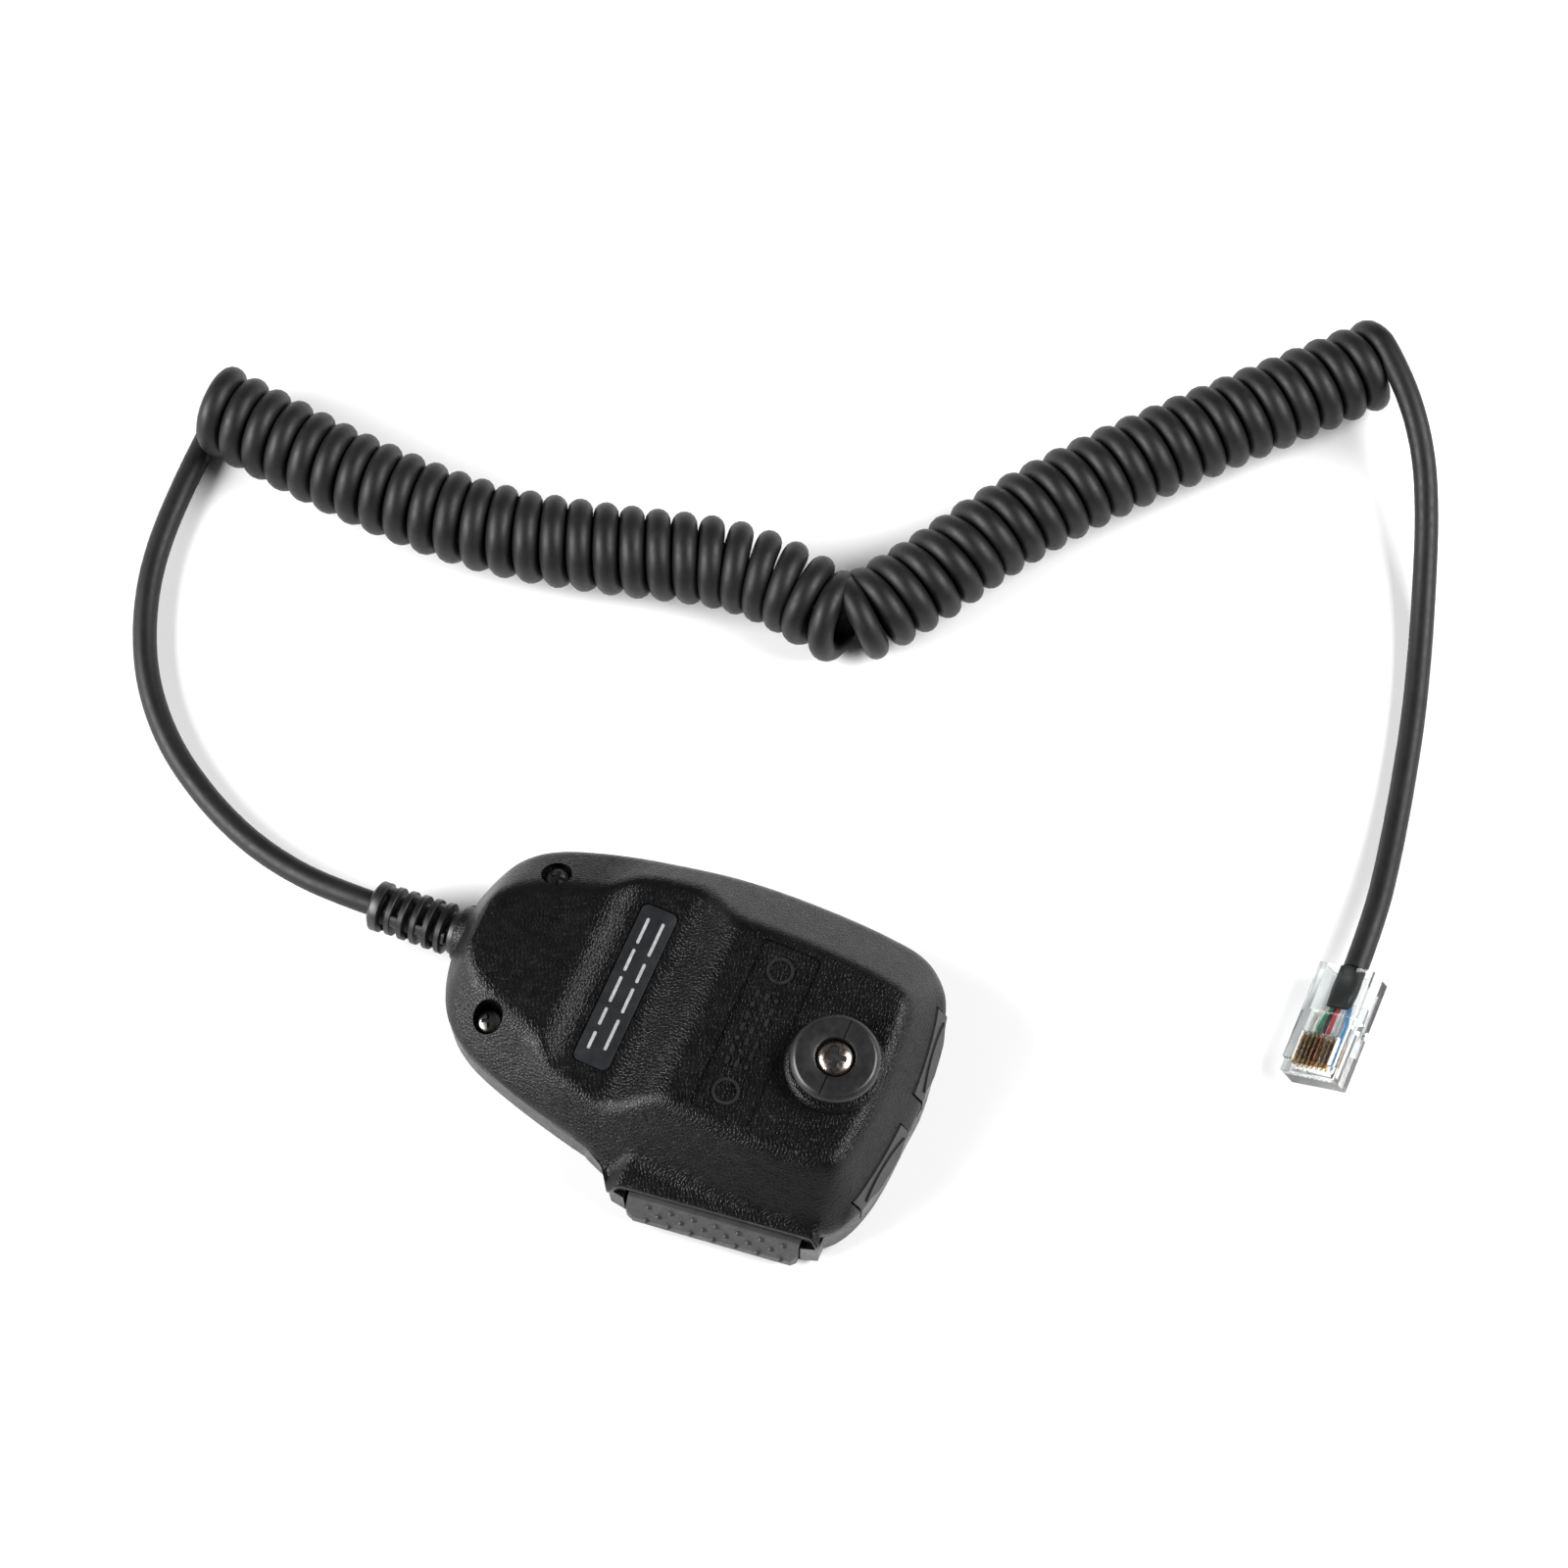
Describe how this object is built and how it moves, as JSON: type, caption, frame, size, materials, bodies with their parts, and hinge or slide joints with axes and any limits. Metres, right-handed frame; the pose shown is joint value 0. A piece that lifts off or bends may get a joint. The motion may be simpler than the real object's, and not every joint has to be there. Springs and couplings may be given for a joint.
{
  "type": "hand microphone",
  "caption": "Hand microphone with a keypad face, talk bar on one side, hanger knob on the back, ribbed strain relief and a curly cord to a clear modular plug.",
  "frame": {"origin": "on the floor under the middle of the body, cord and plug not counted", "axes": "+Z out of the back of the body, +Y along the body towards the head, +X towards the talk bar"},
  "size_m": [0.2286, 0.2611, 0.0316],
  "materials": {
    "case": "fine leather grain, satin black",
    "knob": "fine satin black",
    "nickel": "warm bright nickel",
    "steel": "zinc plated",
    "label": "smooth dark grey film",
    "talk_rubber": "matte black with grip studs",
    "switch_black": "plain",
    "switch_white": "plain",
    "side_keys": "satin dark grey",
    "keys": "matte grey",
    "membrane": "silicone",
    "board": "green solder mask",
    "aluminium": "spun can",
    "cable": "satin black",
    "wires": "coloured insulation",
    "contacts": "gold flashed",
    "clear": "clear moulded plastic"
  },
  "bodies": {
    "case": {"back_shell": "case", "front_shell": "case", "hanger_knob": "knob", "hanger_screw": "nickel", "hanger_nut": "steel", "label_plate": "label", "case_screws": "steel", "board_screws": "steel", "talk_pin": "steel", "talk_switch": "switch_black", "side_switches": "switch_black", "keypad_membrane": "membrane", "circuit_board": "board", "mic_capsule": "aluminium", "capsule_boot": "cable", "strain_relief": "cable", "inner_cord": "cable", "cord_clamp": "switch_black", "inner_wires": "wires", "board_connector": "switch_white", "cord_lead": "cable", "cord_curl": "cable", "cord_tail": "cable", "plug_housing": "clear", "plug_contacts": "contacts", "plug_wires": "wires", "plug_jacket_end": "cable"},
    "talk_bar": {"talk_bar": "talk_rubber"},
    "talk_plunger": {"talk_plunger": "switch_white"},
    "up_key": {"up_key": "side_keys"},
    "down_key": {"down_key": "side_keys"},
    "key_1": {"key_1": "keys"},
    "key_2": {"key_2": "keys"},
    "key_3": {"key_3": "keys"},
    "key_a": {"key_a": "keys"},
    "key_4": {"key_4": "keys"},
    "key_5": {"key_5": "keys"},
    "key_6": {"key_6": "keys"},
    "key_b": {"key_b": "keys"},
    "key_7": {"key_7": "keys"},
    "key_8": {"key_8": "keys"},
    "key_9": {"key_9": "keys"},
    "key_c": {"key_c": "keys"},
    "key_star": {"key_star": "keys"},
    "key_0": {"key_0": "keys"},
    "key_hash": {"key_hash": "keys"},
    "key_d": {"key_d": "keys"},
    "key_p1": {"key_p1": "keys"},
    "key_p2": {"key_p2": "keys"},
    "key_p3": {"key_p3": "keys"},
    "key_p4": {"key_p4": "keys"},
    "plug_latch": {"plug_latch": "clear"}
  },
  "joints": [
    {"name": "talk_press", "type": "hinge", "parent": "case", "child": "talk_bar", "pos_m": [0.0254, 0.03428, 0.008], "axis": [0, 0, -1], "range_deg": [0, 3], "stiffness_Nm_per_rad": 1, "springref_deg": -1.15},
    {"name": "plunger_slide", "type": "slide", "parent": "case", "child": "talk_plunger", "axis": [-1, 0, 0], "range_m": [0, 0.00135]},
    {"name": "up_press", "type": "slide", "parent": "case", "child": "up_key", "axis": [0, -1, 0], "range_m": [0, 0.0008], "stiffness_N_per_m": 1200, "springref_m": -0.0004},
    {"name": "down_press", "type": "slide", "parent": "case", "child": "down_key", "axis": [0, -1, 0], "range_m": [0, 0.0008], "stiffness_N_per_m": 1200, "springref_m": -0.0004},
    {"name": "key_1_press", "type": "slide", "parent": "case", "child": "key_1", "axis": [0, 0, 1], "range_m": [0, 0.0006], "stiffness_N_per_m": 900, "springref_m": -0.0004},
    {"name": "key_2_press", "type": "slide", "parent": "case", "child": "key_2", "axis": [0, 0, 1], "range_m": [0, 0.0006], "stiffness_N_per_m": 900, "springref_m": -0.0004},
    {"name": "key_3_press", "type": "slide", "parent": "case", "child": "key_3", "axis": [0, 0, 1], "range_m": [0, 0.0006], "stiffness_N_per_m": 900, "springref_m": -0.0004},
    {"name": "key_a_press", "type": "slide", "parent": "case", "child": "key_a", "axis": [0, 0, 1], "range_m": [0, 0.0006], "stiffness_N_per_m": 900, "springref_m": -0.0004},
    {"name": "key_4_press", "type": "slide", "parent": "case", "child": "key_4", "axis": [0, 0, 1], "range_m": [0, 0.0006], "stiffness_N_per_m": 900, "springref_m": -0.0004},
    {"name": "key_5_press", "type": "slide", "parent": "case", "child": "key_5", "axis": [0, 0, 1], "range_m": [0, 0.0006], "stiffness_N_per_m": 900, "springref_m": -0.0004},
    {"name": "key_6_press", "type": "slide", "parent": "case", "child": "key_6", "axis": [0, 0, 1], "range_m": [0, 0.0006], "stiffness_N_per_m": 900, "springref_m": -0.0004},
    {"name": "key_b_press", "type": "slide", "parent": "case", "child": "key_b", "axis": [0, 0, 1], "range_m": [0, 0.0006], "stiffness_N_per_m": 900, "springref_m": -0.0004},
    {"name": "key_7_press", "type": "slide", "parent": "case", "child": "key_7", "axis": [0, 0, 1], "range_m": [0, 0.0006], "stiffness_N_per_m": 900, "springref_m": -0.0004},
    {"name": "key_8_press", "type": "slide", "parent": "case", "child": "key_8", "axis": [0, 0, 1], "range_m": [0, 0.0006], "stiffness_N_per_m": 900, "springref_m": -0.0004},
    {"name": "key_9_press", "type": "slide", "parent": "case", "child": "key_9", "axis": [0, 0, 1], "range_m": [0, 0.0006], "stiffness_N_per_m": 900, "springref_m": -0.0004},
    {"name": "key_c_press", "type": "slide", "parent": "case", "child": "key_c", "axis": [0, 0, 1], "range_m": [0, 0.0006], "stiffness_N_per_m": 900, "springref_m": -0.0004},
    {"name": "key_star_press", "type": "slide", "parent": "case", "child": "key_star", "axis": [0, 0, 1], "range_m": [0, 0.0006], "stiffness_N_per_m": 900, "springref_m": -0.0004},
    {"name": "key_0_press", "type": "slide", "parent": "case", "child": "key_0", "axis": [0, 0, 1], "range_m": [0, 0.0006], "stiffness_N_per_m": 900, "springref_m": -0.0004},
    {"name": "key_hash_press", "type": "slide", "parent": "case", "child": "key_hash", "axis": [0, 0, 1], "range_m": [0, 0.0006], "stiffness_N_per_m": 900, "springref_m": -0.0004},
    {"name": "key_d_press", "type": "slide", "parent": "case", "child": "key_d", "axis": [0, 0, 1], "range_m": [0, 0.0006], "stiffness_N_per_m": 900, "springref_m": -0.0004},
    {"name": "key_p1_press", "type": "slide", "parent": "case", "child": "key_p1", "axis": [0, 0, 1], "range_m": [0, 0.0006], "stiffness_N_per_m": 900, "springref_m": -0.0004},
    {"name": "key_p2_press", "type": "slide", "parent": "case", "child": "key_p2", "axis": [0, 0, 1], "range_m": [0, 0.0006], "stiffness_N_per_m": 900, "springref_m": -0.0004},
    {"name": "key_p3_press", "type": "slide", "parent": "case", "child": "key_p3", "axis": [0, 0, 1], "range_m": [0, 0.0006], "stiffness_N_per_m": 900, "springref_m": -0.0004},
    {"name": "key_p4_press", "type": "slide", "parent": "case", "child": "key_p4", "axis": [0, 0, 1], "range_m": [0, 0.0006], "stiffness_N_per_m": 900, "springref_m": -0.0004},
    {"name": "latch_flex", "type": "hinge", "parent": "case", "child": "plug_latch", "pos_m": [-0.0434, 0.1144, 0.00271], "axis": [0, 0.8387, 0.5446], "range_deg": [0, 3], "stiffness_Nm_per_rad": 0.5}
  ],
  "couplings": [
    {"joint": "plunger_slide", "follows": "talk_press", "m_per_rad": 0.024}
  ]
}
